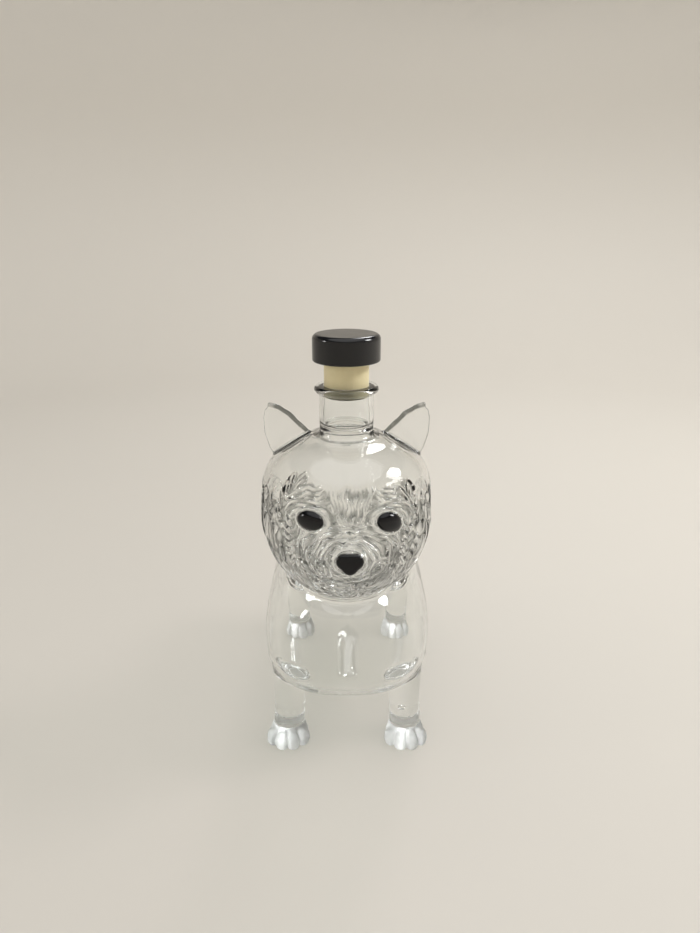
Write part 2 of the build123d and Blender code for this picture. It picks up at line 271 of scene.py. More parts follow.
def head_form(p, wall=0.0):
    """A turned ball, squarer above than below, with a slanting facet under each ear and the muzzle."""
    out = np.maximum(np.hypot(p[0], p[1]) / (HEAD_RADIUS - wall), 1e-4)
    rise = p[2] - HEAD_HEIGHT
    halves = []
    for reach, power in ((HEAD_RISE - wall, CROWN_POWER), (HEAD_DROP - wall, JAW_POWER)):
        up = np.maximum(np.abs(rise) / reach, 1e-4)
        gauge = (out**power + up**power) ** (1 / power)
        d_out = (out / gauge) ** (power - 1) / (HEAD_RADIUS - wall)
        d_up = (up / gauge) ** (power - 1) / reach
        halves.append((gauge - 1) / np.hypot(d_out, d_up))
    ball = np.where(rise >= 0, halves[0], halves[1])
    run, fall = SHOULDER_OUTER[0] - SHOULDER_INNER[0], SHOULDER_INNER[1] - SHOULDER_OUTER[1]
    tipped = p[2] - SHOULDER_INNER[1] + SHOULDER_FALL * (p[1] - SHOULDER_BACK)
    slant = (np.abs(p[0]) - SHOULDER_INNER[0]) * fall + tipped * run
    ball = smooth_most(ball, slant / math.hypot(run, fall) + wall, SHOULDER_ROUND)
    muzzle_at = (FACE_SIDE, -MUZZLE_FORWARD, HEAD_HEIGHT - MUZZLE_DROP)
    muzzle = ellipsoid(p, muzzle_at, [half - wall for half in MUZZLE_HALVES])
    return smooth_least(ball, muzzle, MUZZLE_BLEND)


def head_seam(p):
    """The head ends a little outside its own wall, where its neighbours' fillets begin."""
    return head_form(p) - HEAD_SEAM


def fade(value, start, end):
    """A soft step from 0 at start to 1 at end."""
    share = np.clip((value - start) / (end - start), 0, 1)
    return share * share * (3 - 2 * share)


def hill(value, width):
    """A smooth hump, 1 where the value is 0."""
    return np.exp(-((value / width) ** 2))


def wander(a, b, seed):
    """A smooth uneven value from -1 to 1, made of a few crossed waves."""
    first = np.sin(1.7 * a + 2.3 * np.sin(0.9 * b + seed) + seed)
    second = np.sin(2.1 * b - 1.9 * np.sin(1.1 * a - 2.0 * seed) + 1.3 * seed)
    return 0.5 * (first + second)


def strands(phase, along, seed):
    """Rounded locks with sharp valleys, from 0 to 1; each lock swells and thins along its length."""
    lock = np.sqrt(np.abs(np.sin(np.pi * phase)) + 1e-6)
    number = np.floor(phase)
    chance = np.mod(np.sin(number * 12.9898 + seed) * 437.585, 1.0)
    swell = np.sin(along * (0.5 + 0.5 * chance) + 2 * math.pi * chance)
    return lock * (0.75 - 0.4 * chance + 0.3 * swell)


def fur(p):
    """Height of the combed fur on the head in millimetres, by place round the face."""
    x, y, z = p[0] - FACE_SIDE, p[1], p[2] - HEAD_HEIGHT
    across = HEAD_RADIUS * np.arctan2(x, -y)
    up = HEAD_RADIUS * np.arctan2(z, np.hypot(x, y))
    side = np.abs(across)
    rise = up - NOSE_RISE
    hand = np.where(across > 0, 1.0, 1.3)

    # Rings of hair lie round the nose and fill the muzzle, with a small whorl beside each nostril.
    out = np.hypot(across / 1.5, rise)
    turn = np.arctan2(across, rise)
    curl = 0.5 * wander(turn * 1.7 * hand, out / 6, 2.1) + 0.3 * wander(turn * 5.0, out / 2.5, 4.4)
    arcs = strands(out / MUZZLE_LOCK + curl, turn * out, 0.4)
    whorl = np.hypot((side - WHORL_SIDE) / 1.4, rise + WHORL_DROP)
    twist = 0.2 + 0.4 * wander(turn * 4.0, whorl / 2, 3.7)
    arcs = np.where(whorl < WHORL_REACH, strands(whorl / WHORL_LOCK + twist, turn * 9, 2.6), arcs)
    muzzle = 1 - fade(out + 1.3 * wander(turn * 2 * hand, out / 6, 1.7), *MUZZLE_REACH)

    # On the cheeks the hair runs outwards and down in long wavy locks.
    bend = 0.5 + 0.012 * side + 0.02 * rise
    over = side * np.cos(bend) + rise * np.sin(bend)
    along = rise * np.cos(bend) - side * np.sin(bend)
    wave = 0.9 * wander(along / 6.0 * hand, over / 10, 3.3) + 0.45 * wander(along / 2.6, over / 5, 5.1)
    cheeks = strands(over / CHEEK_LOCK + wave, along, 1.1)

    # Between the eyes it stands up and fans out from the bridge.
    fan = np.arctan2(across, np.maximum(rise - 2.0, 0.5))
    forehead = strands(fan * FAN_LOCKS + 0.45 * wander(fan * 6, up / 2.5, 8.0), up, 2.2)
    between = (1 - fade(np.abs(fan), *FAN_WIDTHS)) * fade(rise, *FAN_RISES)

    # Brows arch over the eyes from the bridge.
    brow_ring = np.hypot((side - BROW_SIDE) / 1.35, up - BROW_RISE)
    lashes = strands(brow_ring / BROW_LOCK + 0.2 * wander(across / 4, up / 4, 9.0), side / 1.5, 3.1)
    brow = fade(up, *BROW_FOOT) * (1 - fade(brow_ring, *BROW_REACH)) * (1 - between)

    coat = muzzle * arcs * MUZZLE_COAT + (1 - muzzle) * cheeks * CHEEK_COAT
    coat = coat * (1 - between) + between * forehead * FAN_COAT
    coat = coat * (1 - brow) + brow * lashes * BROW_COAT

    # The crown, the back and the chin's foot stay smooth, and so does a pressed patch on each temple.
    tuft = np.where(across > 0, LEFT_TUFT, RIGHT_TUFT) * hill(side - TUFT_SIDE, TUFT_WIDTH)
    hair_line = HAIR_LINE + tuft - HAIR_FALL * fade(side, *HAIR_FALL_SIDES)
    hair_line += 1.4 * wander(side / 3.3 * hand, across / 7, 0.7)
    cover = 1 - fade(up, hair_line, hair_line + HAIR_SOFT)
    cover *= 1 - (1 - NAPE_COAT * fade(-up, *NAPE_DROPS)) * fade(y, *BACK_SMOOTH)
    cover *= 1 - fade(-up, *CHIN_SMOOTH)
    patch = np.hypot((side - PATCH_SIDE) / PATCH_HALVES[0], (up - PATCH_RISE) / PATCH_HALVES[1])
    cover *= 0.35 + 0.65 * fade(patch, 0.75, 1.15)
    edge = -0.15 * hill(patch - 1.05, 0.12) * fade(-y, 0, 8)
    return FUR_BASE - cover * (FUR_DEPTH - coat) + edge


def face_relief(p, coat):
    """Adds to the fur a bridge, the lips, and the rims that hold the eyes and the nose."""
    x, z = p[0] - FACE_SIDE, p[2] - HEAD_HEIGHT
    front = fade(-p[1], *FRONT_FORWARD)
    bridge = hill(x, BRIDGE_HALVES[0]) * hill(z - BRIDGE_RISE, BRIDGE_HALVES[1]) * front
    lobe_rise = z - BRIDGE_RISE - LOBE_TILT * np.abs(x)
    lobe = hill(np.abs(x) - LOBE_SIDE, LOBE_HALVES[0]) * hill(lobe_rise, LOBE_HALVES[1])
    coat = coat * (1 - bridge) + bridge * (LOBE_HEIGHT * lobe - BRIDGE_SINK)
    smile = MOUTH_CURVE * x**2
    lip = LIP_HEIGHT * hill(x, LIP_HALVES[0]) * hill(z - LIP_RISE - smile, LIP_HALVES[1])
    mouth = MOUTH_DEPTH * hill(x, MOUTH_HALVES[0]) * hill(z - MOUTH_RISE - smile, MOUTH_HALVES[1])
    coat = coat + front * (lip - mouth)
    for side in (1, -1):
        place, tilt = FACE_SIDE + side * EYE_SIDE, EYE_TILTS[side]
        turn = math.asin(place / HEAD_RADIUS)
        flat = (p[0] - place) * math.cos(turn) + (p[1] + HEAD_RADIUS * math.cos(turn)) * math.sin(turn)
        high = z - EYE_RISES[side]
        long = flat * math.cos(tilt) + side * high * math.sin(tilt)
        tall = high * math.cos(tilt) - side * flat * math.sin(tilt)
        coat = rim_round(coat, long, tall, EYE_HALVES, front)
    high = (z - NOSE_RISE - NOSE_RIM_LIFT) * NOSE_RIM_SQUASH
    return rim_round(coat, x, high, NOSE_HALVES, front)


def rim_round(coat, long, tall, halves, front):
    """A smooth raised lip of glass round a pressed-in bead, with a fine groove at the bead's edge."""
    gauge = np.hypot(long / halves[0], tall / halves[1])
    gap = (gauge - 1) * min(halves) * np.where(gauge > 1, 1.15, 1.0)
    smooth = (1 - fade(gap, EYE_RIM * 1.2, EYE_RIM * 2.4)) * front
    lip = RIM_HEIGHT * hill(gap - EYE_RIM, RIM_WIDTH) - RIM_GROOVE * hill(gap, RIM_GROOVE_WIDTH)
    return coat * (1 - smooth) + smooth * (lip - RIM_SINK)


def furred_head(p):
    """The head with its relief, which is worked out only near the surface."""
    bare = head_form(p)
    full, none = RELIEF_REACH
    near = np.abs(bare) < none
    raised = bare.copy()
    spot = [axis[near] for axis in p]
    raised[near] = bare[near] - face_relief(spot, fur(spot)) * fade(-np.abs(bare[near]), -none, -full)
    return raised


def groove(p):
    """How deep a place on the outside lies between the locks of fur, from 0 to 1; this much shade is painted
    there.
    """
    depth = -head_form(p)
    inside = fade(depth, HEAD_WALL - INNER_MARGINS[0], HEAD_WALL - INNER_MARGINS[1])
    return fade(depth, *PAINTED_SHADE_DEPTHS) * (1 - inside)


# The head's glass has painted shade in the valleys between the locks of fur.
moulded_glass = clear_finish(
    "moulded_glass", GLASS_TONE, frost=0.0, ripple_size=2.5, ripple_depth=0.02, paints_shade=True
)
glass_parts.append(
    dict(
        name="head",
        node="head_shell",
        material=moulded_glass,
        low=(-HEAD_RADIUS - EDGE, -MUZZLE_FORWARD - MUZZLE_HALVES[1] - EDGE, HEAD_HEIGHT - HEAD_DROP - EDGE),
        high=(HEAD_RADIUS + EDGE, HEAD_RADIUS + EDGE, HEAD_HEIGHT + HEAD_RISE + EDGE),
        cell=GRAIN,
        limbs=["neck", "left_ear", "right_ear"],
        seam=head_seam,
        shade=groove,
    )
)


# The neck tube and its lip.
# A straight tube stands on the crown, and its mouth is worked outwards into a rounded flange. Where
# the tube is fused to the head the glass has gathered into a soft ring inside the bore.
BORE_RADIUS, NECK_WALL, BORE_EASE, BORE_OVERRUN = 9.6, 2.1, 6.0, 8.0
NECK_FOOT, NECK_TOP, MOUTH = 159.4, 178.3, 181.2
LIP_RADIUS, LIP_ROUND, NECK_INTO_LIP = 13.8, 1.4, 1.0
NECK_WELD, LIP_WELD = 3.5, 0.8
GATHER, GATHER_RISE, GATHER_LENGTH = 1.2, 4.2, 1.0
NECK_REACH = 16.0


def tube(p, radius, low, high):
    """Distance to an upright round bar."""
    out = np.hypot(p[0], p[1]) - radius
    tall = np.abs(p[2] - (low + high) / 2) - (high - low) / 2
    return np.minimum(np.maximum(out, tall), 0) + np.hypot(np.maximum(out, 0), np.maximum(tall, 0))


def neck_form(p):
    return tube(p, BORE_RADIUS + NECK_WALL, HEAD_HEIGHT, NECK_TOP + NECK_INTO_LIP)


def lip_form(p):
    low, high = NECK_TOP + LIP_ROUND, MOUTH - LIP_ROUND
    return tube(p, LIP_RADIUS - LIP_ROUND, low, high) - LIP_ROUND


def bore_form(p):
    """The bore, narrowed by the gathered ring above the weld."""
    narrow = GATHER * hill(p[2] - NECK_FOOT - GATHER_RISE, GATHER_LENGTH)
    return tube(p, BORE_RADIUS, HEAD_HEIGHT, MOUTH + BORE_OVERRUN) + narrow


def neck_seam(p):
    """The neck ends at the head, at the lip and a little outside its fillet."""
    low = np.maximum(HEAD_SEAM - head_form(p), p[2] - NECK_TOP)
    return np.maximum(low, np.hypot(p[0], p[1]) - NECK_REACH)


def lip_seam(p):
    return NECK_TOP - p[2]


LIMBS["neck"] = (neck_form, NECK_WELD)
LIMBS["lip"] = (lip_form, LIP_WELD)
around_neck = NECK_REACH + EDGE
glass_parts.append(
    dict(
        name="neck",
        node="neck_tube",
        material=blown_glass,
        low=(-around_neck, -around_neck, NECK_FOOT - EDGE * 2),
        high=(around_neck, around_neck, NECK_TOP + EDGE),
        cell=ROD_GRAIN,
        limbs=["neck", "lip", "left_ear", "right_ear"],
        seam=neck_seam,
    )
)
glass_parts.append(
    dict(
        name="lip",
        node="lip_ring",
        material=blown_glass,
        low=(-around_neck, -around_neck, NECK_TOP - EDGE),
        high=(around_neck, around_neck, MOUTH + EDGE),
        cell=GRAIN,
        limbs=["neck", "lip"],
        seam=lip_seam,
    )
)


# The ears.
# Each is a leaf pinched out of hot glass: a thin plate with a thick rolled inner edge, set upright
# on the shoulder of the head and welded along its foot.
SIDES = (("left", 1), ("right", -1))
EAR_BACK, EAR_PLATE, EAR_ROLL, EAR_LUMPS = 8.0, 0.8, 0.85, 0.22
EAR_THINNING, EAR_THIN_HEIGHTS = 0.35, (150, 168)
EAR_EDGE, EAR_BLEND, EAR_WELD = 1.2, 0.8, 1.6
EAR_INNER_CURVE = ((17.0, 157.9), (20.3, 160.9), (25.5, 166.4), (30.0, 169.4), (34.0, 170.6))
EAR_OUTER_CURVE = ((36.3, 168.2), (37.0, 164.4), (36.6, 157.5), (34.6, 151.0), (33.0, 148.0))
EAR_FOOT_CURVE = ((29.0, 146.0), (17.0, 146.0))
EAR_ROOM, EAR_LOW, EAR_HIGH = 9, 138, 174
ROLL_SHADES, ROLL_SHADE_STRENGTH, ROLL_TIP_SIDES = (0.05, 0.4), 1.6, (29, 34)


def near_run(x, z, start, end):
    """Distance in the plane of the ears to the straight run between two places."""
    (x0, z0), run_x, run_z = start, end[0] - start[0], end[1] - start[1]
    share = np.clip(((x - x0) * run_x + (z - z0) * run_z) / (run_x**2 + run_z**2), 0, 1)
    return np.hypot(x - x0 - share * run_x, z - z0 - share * run_z)


def rod_along(p, points, radius):
    """A round rod that runs through the given places in the plane of the ears."""
    nearest = np.full(p[0].shape, FAR)
    for start, end in zip(points, points[1:]):
        nearest = np.minimum(nearest, near_run(p[0], p[2], start, end))
    return np.hypot(nearest, p[1] - EAR_BACK) - radius


def ear_form(p, side):
    """A leaf outline given a plate's thickness, with its rolled edge."""
    q = (p[0] * side, p[1], p[2])
    x, z = q[0], q[2]
    outline = EAR_INNER_CURVE + EAR_OUTER_CURVE + EAR_FOOT_CURVE
    nearest = np.full(x.shape, FAR)
    inside = np.zeros(x.shape, bool)
    for start, end in zip(outline, outline[1:] + outline[:1]):
        nearest = np.minimum(nearest, near_run(x, z, start, end))
        run_x, run_z = end[0] - start[0], end[1] - start[1]
        crosses = (start[1] > z) != (end[1] > z)
        inside ^= crosses & (x < start[0] + (z - start[1]) * run_x / (run_z if run_z else 1.0))
    leaf = np.where(inside, -nearest, nearest)
    thin = EAR_PLATE * (1 - EAR_THINNING * fade(z, *EAR_THIN_HEIGHTS))
    plate = smooth_most(leaf, np.abs(p[1] - EAR_BACK) - thin, EAR_EDGE)
    lumps = EAR_LUMPS * wander(x / 2.4, z / 3.1, 1.0 + side)
    rolled = rod_along(q, EAR_INNER_CURVE, EAR_ROLL) - lumps
    return smooth_least(plate, rolled, EAR_BLEND)


def ear_seam(p):
    """An ear ends at the head, and short of the neck."""
    return np.maximum(HEAD_SEAM - head_form(p), NECK_REACH - np.hypot(p[0], p[1]))


def roll_shade(p, side):
    """How far a place is inside the rolled edge, as painted shade that makes the thick glass there look
    dark; it is uneven and weaker towards the tip.
    """
    q = (p[0] * side, p[1], p[2])
    dark = 1 - fade(rod_along(q, EAR_INNER_CURVE, EAR_ROLL), *ROLL_SHADES)
    uneven = 0.85 + 0.15 * wander(q[0] / 1.5, q[2] / 2.0, 5.0)
    return ROLL_SHADE_STRENGTH * dark * uneven * (1 - 0.5 * fade(q[0], *ROLL_TIP_SIDES))


# Painted shade: the ears' rolled edges are darkened in the glass's colour.
rolled_glass = clear_finish(
    "rolled_glass", GLASS_TONE, frost=0.0, ripple_size=14.0, ripple_depth=0.05, paints_shade=True
)
for name, side in SIDES:
    LIMBS[f"{name}_ear"] = (lambda p, s=side: ear_form(p, s), EAR_WELD)
    inner, outer = sorted((side * NECK_REACH / 2, side * (HEAD_RADIUS + EDGE)))
    glass_parts.append(
        dict(
            name=f"ear_{name}",
            node=f"{name}_ear",
            material=rolled_glass,
            low=(inner, EAR_BACK - EAR_ROOM, EAR_LOW),
            high=(outer, EAR_BACK + EAR_ROOM, EAR_HIGH),
            cell=EAR_GRAIN,
            limbs=["neck", f"{name}_ear"],
            seam=ear_seam,
            shade=lambda p, s=side: roll_shade(p, s),
        )
    )


# The legs.
# Four solid glass rods, welded under and against the bulb. The front pair spread towards the feet,
# and the rear pair end in a thigh. Two air bubbles are caught in the left front rod.
LEG_RADIUS, LEG_WELD_RADIUS, LEG_SWELL = 7.6, 8.8, (24.0, 43.5)
FRONT_FOOT, FRONT_WELD = (29.3, 0.5), (27.2, 0.5)
REAR_FOOT, REAR_WELD, THIGH_HEIGHT = (32.5, 98.0), (33.5, 92.0), 50.0
THIGH_HALVES, THIGH_BLEND = (8.9, 13.0, 19.0), 6.0
PAW_HEIGHT, FRONT_ROD_TOP, ROD_END_ROUND = 9.4, 45.0, 7.0
LEG_FILLET, WELD_DOME = 3.2, 1.3
LEG_ROOM_SIDES, LEG_ROOM_FRONT, LEG_ROOM_BACK = (19, 16), 27, 18
BUBBLES = (((27.7, -0.5, 19.0), 1.4), ((30.4, -2.5, 14.2), 0.55))


def rod_form(p, foot, weld, weld_height, rod_top, end_radius):
    """A round rod from the table up to its weld, a little thicker at the top."""
    share = np.clip(p[2] / weld_height, -0.2, 1.2)
    x = foot[0] + (weld[0] - foot[0]) * share
    y = foot[1] + (weld[1] - foot[1]) * share
    radius = LEG_RADIUS + (end_radius - LEG_RADIUS) * fade(p[2], *LEG_SWELL)
    out = np.hypot(p[0] - x, p[1] - y) - radius
    return np.maximum(smooth_most(out, p[2] - rod_top, ROD_END_ROUND), PAW_HEIGHT / 3 - p[2])


def front_leg_form(p, side):
    q = (p[0] * side, p[1], p[2])
    return rod_form(q, FRONT_FOOT, FRONT_WELD, BODY_HEIGHT, FRONT_ROD_TOP, LEG_WELD_RADIUS)


def rear_leg_form(p, side):
    q = (p[0] * side, p[1], p[2])
    rod = rod_form(q, REAR_FOOT, REAR_WELD, THIGH_HEIGHT, THIGH_HEIGHT, LEG_RADIUS)
    thigh = ellipsoid(q, (*REAR_WELD, THIGH_HEIGHT), THIGH_HALVES)
    return smooth_least(rod, thigh, THIGH_BLEND)


def limb_seam(p):
    """A leg or the tail has the glass outside the head and the bulb that is near enough to it."""
    return np.maximum(np.maximum(HEAD_SEAM - head_form(p), BODY_SEAM - body_form(p)), -inside_limbs(p))


def leg_seam(p):
    return np.maximum(limb_seam(p), PAW_HEIGHT - p[2])


def beside(side, foot, room):
    """The lowest and highest X of a box round a foot."""
    return sorted((side * (foot[0] - room[0]), side * (foot[0] + room[1])))


leg_tops = (BODY_HEIGHT + EDGE, THIGH_HEIGHT + THIGH_HALVES[2] + EDGE * 2)
leg_kinds = (("front", FRONT_FOOT, front_leg_form), ("rear", REAR_FOOT, rear_leg_form))
for (end, foot, form), top in zip(leg_kinds, leg_tops):
    for name, side in SIDES:
        leg = f"{end}_{name}_leg"
        LIMBS[leg] = (lambda p, form=form, side=side: form(p, side), LEG_FILLET)
        low_x, high_x = beside(side, foot, LEG_ROOM_SIDES)
        glass_parts.append(
            dict(
                name=leg,
                node=leg,
                material=blown_glass,
                low=(low_x, foot[1] - LEG_ROOM_FRONT, PAW_HEIGHT - EDGE),
                high=(high_x, foot[1] + LEG_ROOM_BACK, top),
                cell=ROD_GRAIN,
                limbs=[leg, f"{end}_{name}_paw"],
                seam=leg_seam,
            )
        )


# The paws.
# Pads of the same glass pressed into a small mould: four round toes in front and a flat sole. The
# mould leaves them frosted, so they look whiter than the rods.
PAD_HALVES = (10.0, 10.6, 11.5)
TOE_RADIUS, TOE_STRETCH, TOE_REACH, TOE_SPREAD = 4.9, 1.15, 7.4, math.radians(104.0)
TOE_COUNT, TOE_WELD = 4, 0.5
TOE_GROOVE, TOE_GROOVE_WIDTH, TOE_GROOVE_RADIUS, TOE_GROOVE_REACH = 0.9, 0.8, 9.0, (6.0, 9.0)
PAW_WELD, SOLE_ROUND, PAW_OVERLAP, PAW_SINK, PAW_LUMPS = 2.0, 0.5, 1.5, 0.1, 0.08
PAW_ROOM_FRONT, PAW_ROOM_BACK = 18, 16
FROST_TONE, FROST = 0.61, 0.34


def paw_form(p, side, foot):
    """A pad with round toes, dents between them, slightly uneven as pressed glass is."""
    x, y, z = p[0] * side - foot[0], p[1] - foot[1], p[2]
    shape = ellipsoid((x, y, z), (0, 0, 0), PAD_HALVES)
    for index in range(TOE_COUNT):
        turn = TOE_SPREAD * (index / (TOE_COUNT - 1) - 0.5)
        centre = (TOE_REACH * math.sin(turn), -TOE_REACH * math.cos(turn), TOE_RADIUS / 2)
        halves = (TOE_RADIUS, TOE_RADIUS * TOE_STRETCH, TOE_RADIUS * TOE_STRETCH)
        shape = smooth_least(shape, ellipsoid((x, y, z), centre, halves), TOE_WELD)
    turn = np.arctan2(x, -y)
    for index in range(1, TOE_COUNT):
        middle = TOE_SPREAD * (index / (TOE_COUNT - 1) - 0.5)
        dent = hill((turn - middle + TOE_SPREAD / 6) * TOE_GROOVE_RADIUS, TOE_GROOVE_WIDTH)
        shape = shape + TOE_GROOVE * dent * fade(np.hypot(x, y), *TOE_GROOVE_REACH)
    shape = shape + PAW_SINK - PAW_LUMPS * wander(x / 1.5, (y + z) / 1.3, 4.0 + side + foot[1])
    shape = np.maximum(shape, z - PAW_HEIGHT - PAW_OVERLAP)
    return smooth_most(shape, -z, SOLE_ROUND)


def paw_seam(p):
    return p[2] - PAW_HEIGHT


frosted_glass = clear_finish("frosted_glass", FROST_TONE, FROST, ripple_size=1.4, ripple_depth=0.04)
for end, foot, _ in leg_kinds:
    for name, side in SIDES:
        paw = f"{end}_{name}_paw"
        LIMBS[paw] = (lambda p, side=side, foot=foot: paw_form(p, side, foot), PAW_WELD)
        low_x, high_x = beside(side, foot, LEG_ROOM_SIDES)
        glass_parts.append(
            dict(
                name=paw,
                node=paw,
                material=frosted_glass,
                low=(low_x, foot[1] - PAW_ROOM_FRONT, -EDGE),
                high=(high_x, foot[1] + PAW_ROOM_BACK, PAW_HEIGHT + EDGE),
                cell=GRAIN,
                limbs=[f"{end}_{name}_leg", paw],
                seam=paw_seam,
            )
        )


# The tail.
# A short solid rod pulled to a round tip and welded to the top of the rump, leaning back.
TAIL_ROOT, TAIL_TIP = (96.0, 53.5), (111.55, 92.0)
TAIL_ROOT_RADIUS, TAIL_TIP_RADIUS, TAIL_WELD = 7.0, 3.2, 4.0
TAIL_ROOM, TAIL_TIP_ROOM = (14, 16, 14), 6


def tail_form(p):
    """A round rod that gets thinner from its root in the bulb to its tip."""
    run = (TAIL_TIP[0] - TAIL_ROOT[0], TAIL_TIP[1] - TAIL_ROOT[1])
    along = (p[1] - TAIL_ROOT[0]) * run[0] + (p[2] - TAIL_ROOT[1]) * run[1]
    share = np.clip(along / (run[0] ** 2 + run[1] ** 2), 0, 1)
    y, z = TAIL_ROOT[0] + share * run[0], TAIL_ROOT[1] + share * run[1]
    radius = TAIL_ROOT_RADIUS + (TAIL_TIP_RADIUS - TAIL_ROOT_RADIUS) * share
    return np.sqrt(p[0] ** 2 + (p[1] - y) ** 2 + (p[2] - z) ** 2) - radius


LIMBS["tail"] = (tail_form, TAIL_WELD)
glass_parts.append(
    dict(
        name="tail",
        node="tail",
        material=blown_glass,
        low=(-TAIL_ROOM[0], TAIL_ROOT[0] - TAIL_ROOM[1], TAIL_ROOT[1] - TAIL_ROOM[2]),
        high=(TAIL_ROOM[0], TAIL_TIP[0] + TAIL_TIP_ROOM, TAIL_TIP[1] + TAIL_TIP_ROOM),
        cell=ROD_GRAIN,
        limbs=["tail"],
        seam=limb_seam,
    )
)


# Fusing the glass.
# The torch rounds every weld, so the parts are taken together as one piece of glass with its hollow
# inside, and that is then parted again along the welds into one closed solid for each part.
PULLS = 3
NEAR_SEAM, ON_SEAM = 0.6, 1 / 20

weld_nodes = Finish("fused_weld")
fused_weld = weld_nodes.finish(weld_nodes.wire(weld_nodes.add("ShaderNodeBsdfTransparent")))


def glass(p, limbs):
    """All the glass near a place: the outsides welded together, less the hollow and the bubbles."""
    outside = smooth_least(body_form(p), furred_head(p), CHIN_WELD)
    for limb in limbs:
        form, weld = LIMBS[limb]
        outside = smooth_least(outside, form(p), weld)
    hollow = smooth_least(body_form(p, BODY_WALL), head_form(p, HEAD_WALL), CHIN_WELD)
    hollow = smooth_least(hollow, bore_form(p), BORE_EASE)
    depth = -BODY_WALL - WELD_DOME - body_form(p)
    for limb in limbs:
        if limb.endswith("leg"):
            hollow = smooth_most(hollow, -np.maximum(LIMBS[limb][0](p), depth), WELD_DOME)
    solid = np.maximum(outside, -hollow)
    for centre, radius in BUBBLES:
        bubble = np.sqrt(sum((p[axis] - centre[axis]) ** 2 for axis in range(3))) - radius
        solid = np.maximum(solid, -bubble)
    return solid


def slope(field, points, step):
    """Which way a field rises at each point, and how steeply."""
    rises = []
    for axis in range(3):
        ahead, behind = points.copy(), points.copy()
        ahead[:, axis] += step
        behind[:, axis] -= step
        rises.append((field(ahead.T) - field(behind.T)) / (2 * step))
    return np.stack(rises, 1)


def pull_to(field, points, chosen, step):
    """Moves the chosen points on to the place where the field is zero."""
    if not chosen.any():
        return
    spot = points[chosen]
    value = field(spot.T)
    rise = slope(field, spot, step)
    length = np.maximum((rise**2).sum(1), 0.05)
    move = -rise * (value / length)[:, None]
    size = np.linalg.norm(move, axis=1)[:, None]
    points[chosen] = spot + move * np.minimum(1, 2 * step / np.maximum(size, 1e-9))


def part_off(name, node, material, low, high, cell, limbs, seam, shade=None):
    """Cuts one part's glass out of the fused whole, as a closed mesh in metres."""
    counts = [int(math.ceil((high[axis] - low[axis]) / cell)) + 1 for axis in range(3)]
    lines = [low[axis] + cell * np.arange(counts[axis], dtype=np.float32) for axis in range(3)]
    grid_points = np.meshgrid(*lines, indexing="ij", sparse=False)
    grid = openvdb.FloatGrid(FAR)
    grid.copyFromArray(np.maximum(glass(grid_points, limbs), seam(grid_points)).astype(np.float32))
    spots, quads = grid.convertToQuads(0.0)
    points = np.array(low) + cell * spots.astype(np.float64)

    def whole(q):
        return glass(q, limbs)

    for _ in range(PULLS):
        at_glass, at_seam = np.abs(whole(points.T)), np.abs(seam(points.T))
        both = (at_glass < NEAR_SEAM * cell) & (at_seam < NEAR_SEAM * cell)
        pull_to(whole, points, both | (at_glass <= at_seam), cell / 4)
        pull_to(seam, points, both | (at_glass > at_seam), cell / 4)
    on_seam = np.abs(seam(points.T)) < ON_SEAM * cell
    normals = slope(whole, points, cell / 6)
    normals /= np.maximum(np.linalg.norm(normals, axis=1), 1e-9)[:, None]

    mesh = bpy.data.meshes.new(name)
    placed = (points + np.array([NECK_PLACE.x, NECK_PLACE.y, 0])) * MM
    mesh.from_pydata(placed.tolist(), [], quads.tolist())
    mesh.polygons.foreach_set("material_index", on_seam[quads].all(1).astype(np.int32))
    mesh.polygons.foreach_set("use_smooth", np.ones(len(quads), bool))
    mesh.update()
    mesh.normals_split_custom_set_from_vertices(normals.tolist())
    mesh.materials.append(material)
    mesh.materials.append(fused_weld)
    # The painted shade is kept on each point as the groove attribute.
    if shade:
        depths = mesh.attributes.new("groove", "FLOAT", "POINT")
        depths.data.foreach_set("value", shade(points.T).astype(np.float32))
    piece = bpy.data.objects.new(name, mesh)
    bpy.context.scene.collection.objects.link(piece)
    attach(piece, "bottle")
    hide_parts(node)


for part in glass_parts:
    part_off(**part)


# The eyes and the nose.
# Beads of black glass pressed into the hot face while it is soft, and left glossy and slightly domed.
BLACK_GLASS_COLOUR = (0.004, 0.004, 0.005, 1)


def dress(node, material):
    """Gives a CAD piece its finish."""
    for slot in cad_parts[node].material_slots:
        slot.material = material


black_nodes = Finish("black_glass")
black_glass = black_nodes.finish(
    black_nodes.surface(
        {
            "Base Color": BLACK_GLASS_COLOUR,
            "Roughness": 0.08 + 0.1 * black_nodes.noise(3.0),
            "Specular IOR Level": 0.4,
            "Normal": black_nodes.bump(black_nodes.noise(5.0, 2.0), 0.04),
        }
    )
)
for bead in ("left_eye", "right_eye", "nose"):
    dress(bead, black_glass)


# The stopper's shank.
# Cream synthetic cork, extruded smooth and cut square, with a blind hole. It is glued on the cap's peg
# and slides in the neck.
CORK_DARK, CORK_LIGHT = (0.86, 0.74, 0.42, 1), (0.96, 0.87, 0.58, 1)
cork_nodes = Finish("cream_cork")
speckle = cork_nodes.noise(0.8, 5.0)
cloud = cork_nodes.noise(9.0, 2.0)
cream_cork = cork_nodes.finish(
    cork_nodes.surface(
        {
            "Base Color": cork_nodes.mix(0.5 * speckle + 0.5 * cloud, CORK_DARK, CORK_LIGHT),
            "Roughness": 0.38 + 0.15 * speckle,
            "Normal": cork_nodes.bump(speckle, 0.06),
        }
    )
)
dress("stopper_shank", cream_cork)


# The stopper's cap.
# Black plastic moulded with a polished finish, a softly rounded rim and a peg underneath that holds
# the cork.
CAP_COLOUR = (0.008, 0.008, 0.009, 1)
cap_nodes = Finish("black_cap")
black_cap = cap_nodes.finish(
    cap_nodes.surface(
        {
            "Base Color": CAP_COLOUR,
            "Roughness": 0.12 + 0.1 * cap_nodes.noise(4.0, 4.0),
            "Normal": cap_nodes.bump(cap_nodes.noise(1.5), 0.01),
        }
    )
)
dress("stopper_cap", black_cap)


